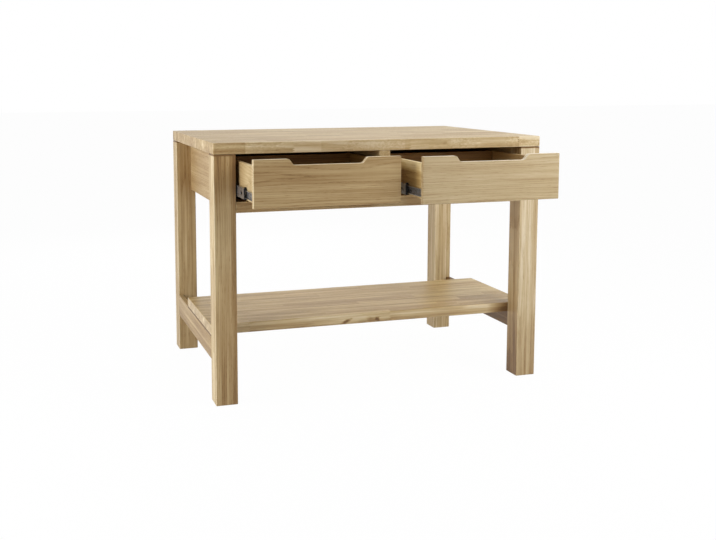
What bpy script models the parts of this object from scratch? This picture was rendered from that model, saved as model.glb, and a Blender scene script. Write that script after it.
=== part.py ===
"""Kitchen island: an oak worktop on four legs, two drawers on ball slides and a lower shelf.

Metres, +Z up, drawers opening towards -Y. The origin is on the floor, under the middle of the whole
island as it stands with both drawers part open.
"""

import math
from collections import namedtuple

import bmesh
import bpy
from mathutils import Matrix, Vector

# Driving sizes of the frame
ISLAND_WIDTH = 1.200
ISLAND_DEPTH = 0.800
ISLAND_HEIGHT = 0.885
WORKTOP_THICKNESS = 0.038
LEG_SIDE = 0.075
BOARD_THICKNESS = 0.018  # aprons, stretchers and drawer fronts
APRON_HEIGHT = 0.195
RAIL_HEIGHT = 0.0365
RAIL_DEPTH = 0.022
DIVIDER_WIDTH = 0.040
PANEL_THICKNESS = 0.006  # dust panel under the drawers
PANEL_DROP = 0.014  # from the front rail's top down to the dust panel
SHELF_TOP = 0.261  # above the floor
SHELF_THICKNESS = 0.035
SHELF_DEPTH = 0.444
STRETCHER_HEIGHT = 0.082

# Driving sizes of the drawers
LEFT_OPENING = 0.210  # how far each drawer stands open
RIGHT_OPENING = 0.265
FRONT_GAP_SIDE = 0.0065  # round a closed drawer front
FRONT_GAP_TOP = 0.0025
FRONT_GAP_BOTTOM = 0.003
NOTCH_WIDTH = 0.260  # of the finger notch, along the front's top edge
NOTCH_FLOOR_WIDTH = 0.232
NOTCH_DEPTH = 0.0195
NOTCH_ROUND = 0.007  # where a notch corner starts to turn, from the corner
DRAWER_DEPTH = 0.425  # of the box behind the front
DRAWER_SIDE_THICKNESS = 0.014
DRAWER_SIDE_DROP = 0.0225  # from the front's top edge down to the sides
DRAWER_SIDE_LIFT = 0.014  # from the front's bottom edge up to the sides
DRAWER_BOTTOM_THICKNESS = 0.006
DRAWER_BOTTOM_LIFT = 0.010  # from the sides' lower edge up to the bottom
GROOVE_DEPTH = 0.006

# Driving sizes of the ball slides. A depth is measured from the cabinet wall towards the drawer.
SLIDE_LENGTH = 0.400
SLIDE_WIDTH = 0.0127
SLIDE_LIFT = 0.0205  # from the drawer sides' lower edge up to the slides' centre line
SLIDE_SETBACK = 0.0125  # of the outer and middle members, behind a closed drawer front
INNER_SETBACK = 0.0015
SLIDE_STEEL = 0.0012
OUTER_HEIGHT = 0.0450
MIDDLE_HEIGHT = 0.0355
INNER_HEIGHT = 0.0250
OUTER_TIP = 0.0098  # depth that the outer member's flanges reach
MIDDLE_WEB = 0.0029
MIDDLE_TIP = 0.0112
INNER_TIP = 0.0056
MIDDLE_SHARE = 0.6  # the middle member's part of its drawer's travel
SCREW_HOLE_RADIUS = 0.0025
ACCESS_SLOT_RADIUS = 0.0050
ACCESS_SLOT_SPREAD = 0.0160  # how far apart the slot's two round ends are
LOCATING_HOLE_RADIUS = 0.0022
LOCATING_HOLE_INSET = 0.024  # from the middle member's front end
LOCATING_HOLE_DROP = 0.0105  # below the slide's centre line
HOLE_INSET = 0.036  # of a member's end holes, from its ends
CAGE_LENGTH = 0.150
CAGE_START = 0.125  # from the members' front ends, with the drawer closed
CAGE_STEEL = 0.0007
CAGE_CLEARANCE = 0.0004  # between a cage's web and the member behind it
BALLS_IN_ROW = 5
STOP_LENGTH = 0.010
STOP_THICKNESS = 0.0026
STOP_PROUD = 0.0004  # how far the stop stands out past the middle member's web
STOP_TAB_RISE = 0.005
STOP_TAB_LENGTH = 0.006

# Joinery
FIT_GAP = 0.0003  # between pieces that touch or fit into each other
TENON_THICKNESS = 0.009
TENON_LENGTH = 0.035
TENON_ROOT = 0.010  # how far a tenon's block runs back into its rail
TENON_SHOULDER = 0.015  # between a tenon and the rail's upper or lower edge
RAIL_TENON_SHOULDER = 0.008
STUB_LENGTH = 0.010  # of the divider's tenons
LEG_DOWEL_RADIUS = 0.006
LEG_DOWEL_LENGTH = 0.050
SHELF_DOWEL_RADIUS = 0.004
SHELF_DOWEL_LENGTH = 0.036
SHELF_DOWEL_INSET = 0.080  # from the shelf's front and rear edges
CUT_MARGIN = 0.005  # how far a cutter runs past the surface it opens
WELD_DISTANCE = 0.00003  # between corners that are one corner

# Rounding
THICK_ROUND = 0.0025  # edges of the worktop, legs and shelf
THIN_ROUND = 0.0015  # edges of the thinner boards
STEEL_ROUND = 0.0010
THIN_STEEL_ROUND = 0.0003
PLY_ROUND = 0.0003
PLASTIC_ROUND = 0.0006
ROUND_STEPS = 2
NOTCH_STEPS = 4
DOWEL_SIDES = 16
HOLE_SIDES = 14  # twice an odd number, so that a slot's ends meet its straight sides
BALL_SIDES = 6
BALL_RINGS = 5

# Places worked out from the driving sizes
FRONT = (max(LEFT_OPENING, RIGHT_OPENING) - ISLAND_DEPTH) / 2
REAR = FRONT + ISLAND_DEPTH
SIDE = ISLAND_WIDTH / 2
LEG_INNER = SIDE - LEG_SIDE
LEG_FRONT_BACK = FRONT + LEG_SIDE  # rear face of the front legs
LEG_REAR_FRONT = REAR - LEG_SIDE  # front face of the rear legs
WORKTOP_UNDERSIDE = ISLAND_HEIGHT - WORKTOP_THICKNESS
FRAME_TOP = WORKTOP_UNDERSIDE - FIT_GAP
APRON_LOW = WORKTOP_UNDERSIDE - APRON_HEIGHT
APRON_MIDDLE = APRON_LOW + APRON_HEIGHT / 2
RAIL_TOP = APRON_LOW + RAIL_HEIGHT
SHELF_UNDERSIDE = SHELF_TOP - SHELF_THICKNESS
STRETCHER_TOP = SHELF_UNDERSIDE - FIT_GAP
BAY_WIDTH = LEG_INNER - DIVIDER_WIDTH / 2
BAY_CENTRE = (LEG_INNER + DIVIDER_WIDTH / 2) / 2
FRONT_WIDTH = BAY_WIDTH - 2 * FRONT_GAP_SIDE
FRONT_LOW = RAIL_TOP + FRONT_GAP_BOTTOM
FRONT_TOP = WORKTOP_UNDERSIDE - FRONT_GAP_TOP
BOX_START = FRONT + BOARD_THICKNESS + FIT_GAP
BOX_END = BOX_START + DRAWER_DEPTH
BOX_HALF_WIDTH = BAY_WIDTH / 2 - SLIDE_WIDTH
BOX_LOW = FRONT_LOW + DRAWER_SIDE_LIFT
BOX_TOP = FRONT_TOP - DRAWER_SIDE_DROP
SLIDE_Z = BOX_LOW + SLIDE_LIFT
MEMBER_START = FRONT + BOARD_THICKNESS + SLIDE_SETBACK
INNER_START = FRONT + BOARD_THICKNESS + INNER_SETBACK

Box = namedtuple("Box", "low high")
Look = namedtuple("Look", "colour roughness metallic")
Channel = namedtuple("Channel", "web tip height thickness look rounding")

OAK = Look((0.60, 0.46, 0.28), 0.50, 0.0)
BIRCH_PLY = Look((0.72, 0.60, 0.43), 0.55, 0.0)
BEECH = Look((0.68, 0.50, 0.33), 0.60, 0.0)
ZINC_STEEL = Look((0.58, 0.59, 0.60), 0.35, 1.0)
CAGE_METAL = Look((0.45, 0.45, 0.46), 0.40, 1.0)
BLACK_PLASTIC = Look((0.02, 0.02, 0.02), 0.45, 0.0)

# Cross-sections of a slide. The inner member opens towards the cabinet, the others towards the drawer.
OUTER = Channel(FIT_GAP, OUTER_TIP, OUTER_HEIGHT, SLIDE_STEEL, ZINC_STEEL, STEEL_ROUND)
MIDDLE = Channel(MIDDLE_WEB, MIDDLE_TIP, MIDDLE_HEIGHT, SLIDE_STEEL, ZINC_STEEL, STEEL_ROUND)
INNER = Channel(SLIDE_WIDTH - FIT_GAP, INNER_TIP, INNER_HEIGHT, SLIDE_STEEL, ZINC_STEEL, STEEL_ROUND)
STOP = MIDDLE._replace(
    web=MIDDLE_WEB - STOP_PROUD, thickness=STOP_THICKNESS, look=BLACK_PLASTIC, rounding=PLASTIC_ROUND
)


def new_collection(name):
    collection = bpy.data.collections.new(name)
    bpy.context.scene.collection.children.link(collection)
    return collection


def clear_scene():
    for item in list(bpy.data.objects):
        bpy.data.objects.remove(item)


clear_scene()
PARTS = new_collection("kitchen_island")
CUTTERS = new_collection("kitchen_island_cutters")


# Boxes

def box(x_ends, y_ends, z_ends):
    """The box between two places on each axis, whichever order the places come in."""
    ends = (sorted(x_ends), sorted(y_ends), sorted(z_ends))
    return Box(Vector(end[0] for end in ends), Vector(end[1] for end in ends))


def around(place, size):
    return (place - size / 2, place + size / 2)


def grown(shape, margin):
    """The box enlarged by a margin on every side."""
    extra = Vector((margin, margin, margin))
    return Box(shape.low - extra, shape.high + extra)


def centre_of(shape):
    return (shape.low + shape.high) / 2


# Meshes and objects

def finish(piece, look):
    """Gives the piece its own material."""
    material = bpy.data.materials.new(piece.name)
    material.use_nodes = True
    shader = material.node_tree.nodes["Principled BSDF"]
    shader.inputs["Base Color"].default_value = (*look.colour, 1.0)
    shader.inputs["Roughness"].default_value = look.roughness
    shader.inputs["Metallic"].default_value = look.metallic
    piece.data.materials.append(material)


def mesh_from(name, shape):
    mesh = bpy.data.meshes.new(name)
    shape.to_mesh(mesh)
    shape.free()
    return mesh


def block_mesh(name, size):
    shape = bmesh.new()
    bmesh.ops.create_cube(shape, size=1.0)
    bmesh.ops.scale(shape, vec=size, verts=shape.verts)
    return mesh_from(name, shape)


def rods_mesh(name, centres, turn, radius, length, sides, spread=0):
    """Round rods of one size, one at each centre, turned from upright. Spread draws them out along Y."""
    shape = bmesh.new()
    for centre in centres:
        rod = bmesh.ops.create_cone(
            shape,
            cap_ends=True,
            segments=sides,
            radius1=radius,
            radius2=radius,
            depth=length,
            matrix=Matrix.Translation(centre) @ turn,
        )
        for corner in rod["verts"]:
            corner.co.y += math.copysign(spread / 2, corner.co.y - centre.y)
    return mesh_from(name, shape)


def balls_mesh(name, centres, radius):
    shape = bmesh.new()
    for centre in centres:
        bmesh.ops.create_uvsphere(
            shape,
            u_segments=BALL_SIDES,
            v_segments=BALL_RINGS,
            radius=radius,
            matrix=Matrix.Translation(centre),
        )
    return mesh_from(name, shape)


def place(name, mesh, location, look):
    piece = bpy.data.objects.new(name, mesh)
    piece.location = location
    PARTS.objects.link(piece)
    finish(piece, look)
    return piece


def round_edges(piece, width):
    bevel = piece.modifiers.new("rounded_edges", "BEVEL")
    bevel.width = width
    bevel.segments = ROUND_STEPS
    bevel.limit_method = "ANGLE"


def board(name, shape, look, rounding):
    """A solid block with rounded edges."""
    piece = place(name, block_mesh(name, shape.high - shape.low), centre_of(shape), look)
    round_edges(piece, rounding)
    return piece


# Cutting and joining

def combine(host, mesh, location, operation):
    """Cuts a mesh out of the host or joins it on. The tool moves with its host."""
    tool = bpy.data.objects.new(mesh.name, mesh)
    CUTTERS.objects.link(tool)
    tool.hide_render = True
    tool.display_type = "WIRE"
    tool.parent = host
    tool.location = location - host.location
    modifier = host.modifiers.new(mesh.name, "BOOLEAN")
    modifier.operation = operation
    modifier.solver = "EXACT"
    modifier.object = tool


def cut(host, shape):
    mesh = block_mesh(host.name + "_cut", shape.high - shape.low)
    combine(host, mesh, centre_of(shape), "DIFFERENCE")


def join(host, shape):
    mesh = block_mesh(host.name + "_join", shape.high - shape.low)
    combine(host, mesh, centre_of(shape), "UNION")


def let_in(host, shape):
    """Makes room in the host for a block that fits into it."""
    cut(host, grown(shape, FIT_GAP))


def tenon(rail, host, shape):
    """Puts a tenon on a rail and its mortise in the piece that takes it."""
    join(rail, shape)
    let_in(host, shape)


def dowel(name, middle, radius, length, lower, upper):
    """An upright dowel, half in the piece below it and half in the piece above."""
    upright = Matrix.Identity(4)
    origin = Vector((0, 0, 0))
    mesh = rods_mesh(name, [origin], upright, radius, length, DOWEL_SIDES)
    place(name, mesh, middle, BEECH)
    for host in (lower, upper):
        bore = radius + FIT_GAP
        hole = rods_mesh(name + "_hole", [origin], upright, bore, length + 2 * FIT_GAP, DOWEL_SIDES)
        combine(host, hole, middle, "DIFFERENCE")


# Frame

def make_worktop():
    shape = box((-SIDE, SIDE), (FRONT, REAR), (WORKTOP_UNDERSIDE, ISLAND_HEIGHT))
    return board("worktop", shape, OAK, THICK_ROUND)


def make_legs(worktop):
    """The four legs, each with a dowel up into the worktop, by (front or rear, left or right)."""
    legs = {}
    for end, y_ends in (("front", (FRONT, LEG_FRONT_BACK)), ("rear", (LEG_REAR_FRONT, REAR))):
        for hand, sign in (("left", -1), ("right", 1)):
            name = f"{end}_{hand}_leg"
            shape = box((sign * LEG_INNER, sign * SIDE), y_ends, (0, FRAME_TOP))
            leg = board(name, shape, OAK, THICK_ROUND)
            middle = Vector((*centre_of(shape).xy, WORKTOP_UNDERSIDE))
            dowel(f"{name}_dowel", middle, LEG_DOWEL_RADIUS, LEG_DOWEL_LENGTH, leg, worktop)
            legs[end, hand] = leg
    return legs


def make_side_apron(hand, sign, legs):
    """A side apron, flush with the legs' inner faces. Its tenons are low, to pass the back apron's."""
    x_ends = (sign * LEG_INNER, sign * (LEG_INNER + BOARD_THICKNESS))
    y_ends = (LEG_FRONT_BACK + FIT_GAP, LEG_REAR_FRONT - FIT_GAP)
    apron = board(f"{hand}_side_apron", box(x_ends, y_ends, (APRON_LOW, FRAME_TOP)), OAK, THIN_ROUND)
    tenon_x = around(sum(x_ends) / 2, TENON_THICKNESS)
    tenon_z = (APRON_LOW + TENON_SHOULDER, APRON_MIDDLE - FIT_GAP)
    for end, face, outward in (("front", y_ends[0], -1), ("rear", y_ends[1], 1)):
        tenon_y = (face - outward * TENON_ROOT, face + outward * TENON_LENGTH)
        tenon(apron, legs[end, hand], box(tenon_x, tenon_y, tenon_z))


def make_back_apron(legs):
    """The apron between the rear legs, flush with their front faces. Its tenons are high."""
    reach = LEG_INNER - FIT_GAP
    y_ends = (LEG_REAR_FRONT, LEG_REAR_FRONT + BOARD_THICKNESS)
    apron = board("back_apron", box((-reach, reach), y_ends, (APRON_LOW, FRAME_TOP)), OAK, THIN_ROUND)
    tenon_y = around(sum(y_ends) / 2, TENON_THICKNESS)
    tenon_z = (APRON_MIDDLE + TENON_SHOULDER, FRAME_TOP - TENON_SHOULDER)
    for hand, sign in (("left", -1), ("right", 1)):
        tenon_x = (sign * (reach - TENON_ROOT), sign * (reach + TENON_LENGTH))
        tenon(apron, legs["rear", hand], box(tenon_x, tenon_y, tenon_z))
    return apron


def make_front_rail(legs):
    """The rail under the drawers, flush with the front legs' front faces."""
    reach = LEG_INNER - FIT_GAP
    y_ends = (FRONT, FRONT + RAIL_DEPTH)
    rail = board("front_rail", box((-reach, reach), y_ends, (APRON_LOW, RAIL_TOP)), OAK, THIN_ROUND)
    tenon_y = around(sum(y_ends) / 2, TENON_THICKNESS)
    tenon_z = (APRON_LOW + RAIL_TENON_SHOULDER, RAIL_TOP - RAIL_TENON_SHOULDER)
    for hand, sign in (("left", -1), ("right", 1)):
        tenon_x = (sign * (reach - TENON_ROOT), sign * (reach + TENON_LENGTH))
        tenon(rail, legs["front", hand], box(tenon_x, tenon_y, tenon_z))
    return rail


def make_divider(rail, back_apron):
    """The board between the drawers, which carries a slide on each face."""
    x_ends = around(0, DIVIDER_WIDTH)
    y_ends = (FRONT, LEG_REAR_FRONT - FIT_GAP)
    low = RAIL_TOP + FIT_GAP
    divider = board("centre_divider", box(x_ends, y_ends, (low, FRAME_TOP)), OAK, THIN_ROUND)
    stub_x = around(0, DIVIDER_WIDTH / 2)
    stub_y = around(FRONT + RAIL_DEPTH / 2, TENON_THICKNESS)
    tenon(divider, rail, box(stub_x, stub_y, (low - STUB_LENGTH, low + TENON_ROOT)))
    stub_y = (y_ends[1] - TENON_ROOT, y_ends[1] + STUB_LENGTH)
    stub_z = around((low + FRAME_TOP) / 2, (FRAME_TOP - low) / 2)
    tenon(divider, back_apron, box(stub_x, stub_y, stub_z))


def make_dust_panel(rail, back_apron):
    """The thin panel that closes the drawer bays from below, let into the rail and the back apron."""
    reach = LEG_INNER - FIT_GAP
    y_ends = (FRONT + RAIL_DEPTH - GROOVE_DEPTH, LEG_REAR_FRONT + GROOVE_DEPTH)
    top = RAIL_TOP - PANEL_DROP
    shape = box((-reach, reach), y_ends, (top - PANEL_THICKNESS, top))
    board("dust_panel", shape, BIRCH_PLY, PLY_ROUND)
    for host in (rail, back_apron):
        let_in(host, shape)


def make_stretcher(hand, sign, legs):
    """A low stretcher between front and rear legs, flush with their outer faces."""
    x_ends = (sign * SIDE, sign * (SIDE - BOARD_THICKNESS))
    y_ends = (LEG_FRONT_BACK + FIT_GAP, LEG_REAR_FRONT - FIT_GAP)
    z_ends = (STRETCHER_TOP - STRETCHER_HEIGHT, STRETCHER_TOP)
    stretcher = board(f"{hand}_stretcher", box(x_ends, y_ends, z_ends), OAK, THIN_ROUND)
    tenon_x = around(sum(x_ends) / 2, TENON_THICKNESS)
    tenon_z = (z_ends[0] + TENON_SHOULDER, z_ends[1] - TENON_SHOULDER)
    for end, face, outward in (("front", y_ends[0], -1), ("rear", y_ends[1], 1)):
        tenon_y = (face - outward * TENON_ROOT, face + outward * TENON_LENGTH)
        tenon(stretcher, legs[end, hand], box(tenon_x, tenon_y, tenon_z))
    return stretcher


def make_shelf(stretchers):
    """The lower shelf, which starts behind the front legs and lies on the stretchers."""
    y_ends = (LEG_FRONT_BACK + FIT_GAP, LEG_FRONT_BACK + FIT_GAP + SHELF_DEPTH)
    shelf = board("lower_shelf", box((-SIDE, SIDE), y_ends, (SHELF_UNDERSIDE, SHELF_TOP)), OAK, THICK_ROUND)
    dowel_places = (("front", y_ends[0] + SHELF_DOWEL_INSET), ("rear", y_ends[1] - SHELF_DOWEL_INSET))
    for hand, sign in (("left", -1), ("right", 1)):
        for end, y in dowel_places:
            middle = Vector((sign * (SIDE - BOARD_THICKNESS / 2), y, SHELF_UNDERSIDE))
            name = f"shelf_dowel_{end}_{hand}"
            dowel(name, middle, SHELF_DOWEL_RADIUS, SHELF_DOWEL_LENGTH, stretchers[hand], shelf)


def make_frame():
    worktop = make_worktop()
    legs = make_legs(worktop)
    stretchers = {}
    for hand, sign in (("left", -1), ("right", 1)):
        make_side_apron(hand, sign, legs)
        stretchers[hand] = make_stretcher(hand, sign, legs)
    back_apron = make_back_apron(legs)
    rail = make_front_rail(legs)
    make_divider(rail, back_apron)
    make_dust_panel(rail, back_apron)
    make_shelf(stretchers)


# Drawers, drawn closed and then slid open

def rounded_corner(before, corner, after):
    """Points of the smooth turn that replaces a corner of an outline."""
    start = corner + (before - corner).normalized() * NOTCH_ROUND
    end = corner + (after - corner).normalized() * NOTCH_ROUND
    points = []
    for step in range(NOTCH_STEPS + 1):
        part = step / NOTCH_STEPS
        points.append((1 - part) ** 2 * start + 2 * part * (1 - part) * corner + part ** 2 * end)
    return points


def front_outline():
    """The drawer front seen from the front, about its own centre: a plain board with a finger notch."""
    half_height = (FRONT_TOP - FRONT_LOW) / 2
    half_width = FRONT_WIDTH / 2
    notch = [
        Vector((half_width, half_height)),
        Vector((NOTCH_WIDTH / 2, half_height)),
        Vector((NOTCH_FLOOR_WIDTH / 2, half_height - NOTCH_DEPTH)),
        Vector((-NOTCH_FLOOR_WIDTH / 2, half_height - NOTCH_DEPTH)),
        Vector((-NOTCH_WIDTH / 2, half_height)),
        Vector((-half_width, half_height)),
    ]
    points = [Vector((-half_width, -half_height)), Vector((half_width, -half_height)), notch[0]]
    for before, corner, after in zip(notch, notch[1:], notch[2:]):
        points += rounded_corner(before, corner, after)
    points.append(notch[-1])
    return points


def front_mesh(name):
    """The outline made into a board that stands in the XZ plane."""
    outline = front_outline()
    curve = bpy.data.curves.new(name + "_outline", "CURVE")
    curve.dimensions = "2D"
    curve.fill_mode = "BOTH"
    curve.extrude = BOARD_THICKNESS / 2
    line = curve.splines.new("POLY")
    line.points.add(len(outline) - 1)
    for point, corner in zip(line.points, outline):
        point.co = (*corner, 0, 1)
    line.use_cyclic_u = True
    drawn = bpy.data.objects.new(curve.name, curve)
    PARTS.objects.link(drawn)
    flat = bpy.data.meshes.new_from_object(drawn.evaluated_get(bpy.context.evaluated_depsgraph_get()))
    shape = bmesh.new()
    shape.from_mesh(flat)
    bpy.data.objects.remove(drawn)
    bmesh.ops.remove_doubles(shape, verts=shape.verts, dist=WELD_DISTANCE)
    bmesh.ops.dissolve_limit(shape, angle_limit=math.radians(1), verts=shape.verts, edges=shape.edges)
    bmesh.ops.transform(shape, matrix=Matrix.Rotation(math.radians(90), 4, "X"), verts=shape.verts)
    bmesh.ops.recalc_face_normals(shape, faces=shape.faces)
    return mesh_from(name, shape)


def make_drawer_box(name, centre_x):
    """Front, sides, back and bottom of a closed drawer."""
    middle = Vector((centre_x, FRONT + BOARD_THICKNESS / 2, (FRONT_LOW + FRONT_TOP) / 2))
    front = place(f"{name}_front", front_mesh(f"{name}_front"), middle, OAK)
    round_edges(front, THIN_ROUND)
    pieces = [front]
    sides = []
    tongue_start = BOX_START - GROOVE_DEPTH
    for hand, sign in (("left", -1), ("right", 1)):
        outer = centre_x + sign * BOX_HALF_WIDTH
        inner = outer - sign * DRAWER_SIDE_THICKNESS
        shape = box((outer, inner), (tongue_start, BOX_END), (BOX_LOW, BOX_TOP))
        sides.append(board(f"{name}_{hand}_side", shape, OAK, THIN_ROUND))
        let_in(front, shape)
    inside = BOX_HALF_WIDTH - DRAWER_SIDE_THICKNESS
    back_reach = inside - FIT_GAP
    back_y = (BOX_END - DRAWER_SIDE_THICKNESS, BOX_END)
    back_x = (centre_x - back_reach, centre_x + back_reach)
    back = board(f"{name}_back", box(back_x, back_y, (BOX_LOW, BOX_TOP)), OAK, THIN_ROUND)
    bottom_reach = inside + GROOVE_DEPTH
    bottom_low = BOX_LOW + DRAWER_BOTTOM_LIFT
    bottom_shape = box(
        (centre_x - bottom_reach, centre_x + bottom_reach),
        (tongue_start, back_y[0] + GROOVE_DEPTH),
        (bottom_low, bottom_low + DRAWER_BOTTOM_THICKNESS),
    )
    bottom = board(f"{name}_bottom", bottom_shape, BIRCH_PLY, PLY_ROUND)
    for host in (front, back, *sides):
        let_in(host, bottom_shape)
    return pieces + sides + [back, bottom]


# Ball slides

class Slide:
    """One ball slide between a cabinet wall and a drawer side, drawn closed."""

    def __init__(self, name, wall_x, inward, opening):
        self.name = name
        self.wall_x = wall_x
        self.inward = inward
        self.opening = opening

    def x(self, depth):
        return self.wall_x + self.inward * depth

    def strip(self, part, channel, y_ends):
        """A C-shaped strip: its web stands at one depth and its two flanges reach to another."""
        opens = math.copysign(1, channel.tip - channel.web)
        shape = box((self.x(channel.web), self.x(channel.tip)), y_ends, around(SLIDE_Z, channel.height))
        piece = board(f"{self.name}_{part}", shape, channel.look, channel.rounding)
        hollow_start = channel.web + opens * channel.thickness
        hollow = box(
            (self.x(hollow_start), self.x(channel.tip + opens * CUT_MARGIN)),
            (y_ends[0] - CUT_MARGIN, y_ends[1] + CUT_MARGIN),
            around(SLIDE_Z, channel.height - 2 * channel.thickness),
        )
        cut(piece, hollow)
        return piece

    def pierce(self, piece, channel, centres, radius, spread=0):
        """Holes through a member's web at these places along it and above the slide's centre line."""
        across = Matrix.Rotation(math.radians(90), 4, "Y")
        places = [Vector((0, along, rise)) for along, rise in centres]
        holes = rods_mesh(piece.name + "_holes", places, across, radius, 2 * CUT_MARGIN, HOLE_SIDES, spread)
        combine(piece, holes, Vector((self.x(channel.web), 0, SLIDE_Z)), "DIFFERENCE")

    def drill(self, piece, channel, y_ends, radius, spread=0):
        """Three holes through a member's web, two near its ends and one half way."""
        places = (y_ends[0] + HOLE_INSET, sum(y_ends) / 2, y_ends[1] - HOLE_INSET)
        self.pierce(piece, channel, [(along, 0) for along in places], radius, spread)

    def slid(self, piece, share):
        """Moves a piece along by its share of the drawer's opening."""
        piece.location.y -= share * self.opening

    def make_outer_member(self):
        y_ends = (MEMBER_START, MEMBER_START + SLIDE_LENGTH)
        outer = self.strip("outer_member", OUTER, y_ends)
        self.drill(outer, OUTER, y_ends, SCREW_HOLE_RADIUS)

    def make_middle_member(self):
        y_ends = (MEMBER_START, MEMBER_START + SLIDE_LENGTH)
        middle = self.strip("middle_member", MIDDLE, y_ends)
        self.drill(middle, MIDDLE, y_ends, ACCESS_SLOT_RADIUS, ACCESS_SLOT_SPREAD)
        locating = (y_ends[0] + LOCATING_HOLE_INSET, -LOCATING_HOLE_DROP)
        self.pierce(middle, MIDDLE, [locating], LOCATING_HOLE_RADIUS)
        self.slid(middle, MIDDLE_SHARE)

    def make_inner_member(self):
        y_ends = (INNER_START, INNER_START + SLIDE_LENGTH)
        inner = self.strip("inner_member", INNER, y_ends)
        self.drill(inner, INNER, y_ends, SCREW_HOLE_RADIUS)
        return inner

    def make_end_stop(self):
        """The plastic stop on the front end of the middle member, with a tab on top."""
        end = MEMBER_START - FIT_GAP
        y_ends = (end - STOP_LENGTH, end)
        stop = self.strip("end_stop", STOP, y_ends)
        half_wall = STOP.thickness / 2
        top = SLIDE_Z + STOP.height / 2
        tab_x = (self.x(STOP.web + half_wall), self.x(STOP.tip - half_wall))
        tab_y = around(sum(y_ends) / 2, STOP_TAB_LENGTH)
        join(stop, box(tab_x, tab_y, (top - half_wall, top + STOP_TAB_RISE)))
        self.slid(stop, MIDDLE_SHARE)

    def make_cage(self, part, around_it, inside_it, share):
        """A thin strip that keeps a row of balls apart above and below, between two members."""
        ceiling = around_it.height / 2 - around_it.thickness
        floor = inside_it.height / 2
        row_height = (ceiling + floor) / 2
        channel = Channel(
            web=around_it.web + around_it.thickness + CAGE_CLEARANCE,
            tip=around_it.tip - around_it.thickness,
            height=2 * row_height + CAGE_STEEL,
            thickness=CAGE_STEEL,
            look=CAGE_METAL,
            rounding=THIN_STEEL_ROUND,
        )
        start = MEMBER_START + CAGE_START
        cage = self.strip(part, channel, (start, start + CAGE_LENGTH))
        spacing = CAGE_LENGTH / BALLS_IN_ROW
        first = (spacing - CAGE_LENGTH) / 2
        centres = []
        for rise in (-row_height, row_height):
            centres += [Vector((0, first + spacing * count, rise)) for count in range(BALLS_IN_ROW)]
        balls = balls_mesh(cage.name + "_balls", centres, (ceiling - floor) / 2 - FIT_GAP)
        ball_depth = (min(inside_it.web, inside_it.tip) + around_it.tip) / 2
        combine(cage, balls, Vector((self.x(ball_depth), start + CAGE_LENGTH / 2, SLIDE_Z)), "UNION")
        self.slid(cage, share)

    def make_cages(self):
        self.make_cage("outer_ball_cage", OUTER, MIDDLE, MIDDLE_SHARE / 2)
        self.make_cage("inner_ball_cage", MIDDLE, INNER, (MIDDLE_SHARE + 1) / 2)


def make_drawer(name, centre_x, opening):
    """A drawer with its two slides. An empty on the drawer's centre line carries what moves with it."""
    pieces = make_drawer_box(name, centre_x)
    for hand, sign in (("left", -1), ("right", 1)):
        slide = Slide(f"{name}_{hand}_slide", centre_x + sign * BAY_WIDTH / 2, -sign, opening)
        slide.make_outer_member()
        slide.make_middle_member()
        slide.make_end_stop()
        slide.make_cages()
        pieces.append(slide.make_inner_member())
    carrier = bpy.data.objects.new(f"{name}_carrier", None)
    carrier.location = (centre_x, FRONT, SLIDE_Z)
    PARTS.objects.link(carrier)
    for piece in pieces:
        piece.parent = carrier
        piece.location -= carrier.location
    carrier.location.y -= opening


make_frame()
make_drawer("left_drawer", -BAY_CENTRE, LEFT_OPENING)
make_drawer("right_drawer", BAY_CENTRE, RIGHT_OPENING)
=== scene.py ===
"""The looks of a kitchen island: oak, plywood, steel and plastic, the slides' screws, and the studio."""

import math
from collections import namedtuple

import bmesh
import bpy
from mathutils import Matrix, Vector


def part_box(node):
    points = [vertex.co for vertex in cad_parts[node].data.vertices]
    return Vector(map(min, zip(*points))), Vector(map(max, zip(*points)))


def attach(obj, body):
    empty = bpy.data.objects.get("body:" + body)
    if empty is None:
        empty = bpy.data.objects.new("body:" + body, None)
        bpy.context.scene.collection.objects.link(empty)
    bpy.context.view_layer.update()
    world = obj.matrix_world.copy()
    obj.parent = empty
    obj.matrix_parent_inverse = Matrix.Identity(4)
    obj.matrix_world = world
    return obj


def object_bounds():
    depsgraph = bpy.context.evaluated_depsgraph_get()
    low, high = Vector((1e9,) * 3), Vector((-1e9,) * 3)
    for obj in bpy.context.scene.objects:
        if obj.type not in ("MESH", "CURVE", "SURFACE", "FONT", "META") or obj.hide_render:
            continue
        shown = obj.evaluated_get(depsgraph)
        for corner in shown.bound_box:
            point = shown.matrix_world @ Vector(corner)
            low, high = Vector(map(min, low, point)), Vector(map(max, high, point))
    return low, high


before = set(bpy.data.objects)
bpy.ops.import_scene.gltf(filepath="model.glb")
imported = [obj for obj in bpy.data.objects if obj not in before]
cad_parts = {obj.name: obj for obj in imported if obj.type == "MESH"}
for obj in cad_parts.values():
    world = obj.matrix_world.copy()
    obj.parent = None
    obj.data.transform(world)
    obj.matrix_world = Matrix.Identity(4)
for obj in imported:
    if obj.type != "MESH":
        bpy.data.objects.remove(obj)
cad_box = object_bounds()

# Camera, found from the edges of the legs, worktop, drawers and shelf in the 716 by 540 picture

PICTURE_WIDTH = 716
PICTURE_HEIGHT = 540
FOCAL_PIXELS = 966.4
CENTRE_PIXEL = (303, 190)  # where the lens axis meets the picture
CAMERA_PLACE = Vector((-1.2329, -3.3551, 1.0928))
CAMERA_YAW = math.radians(16.904)  # to the right of +Y
CAMERA_PITCH = math.radians(-6.577)
CAMERA_ROLL = math.radians(-0.142)
SENSOR_WIDTH = 36

# Node graphs

FLAT_COSINE = 0.995  # between the rolled and the true normal, where an edge starts to show
EDGE_COSINE = 0.85  # where it shows fully
SIDE_RISE = 0.3  # how far up a normal points where a face starts to count as an upper face
TOP_RISE = 0.8  # where it counts fully
EDGE_SAMPLES = 4


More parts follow.
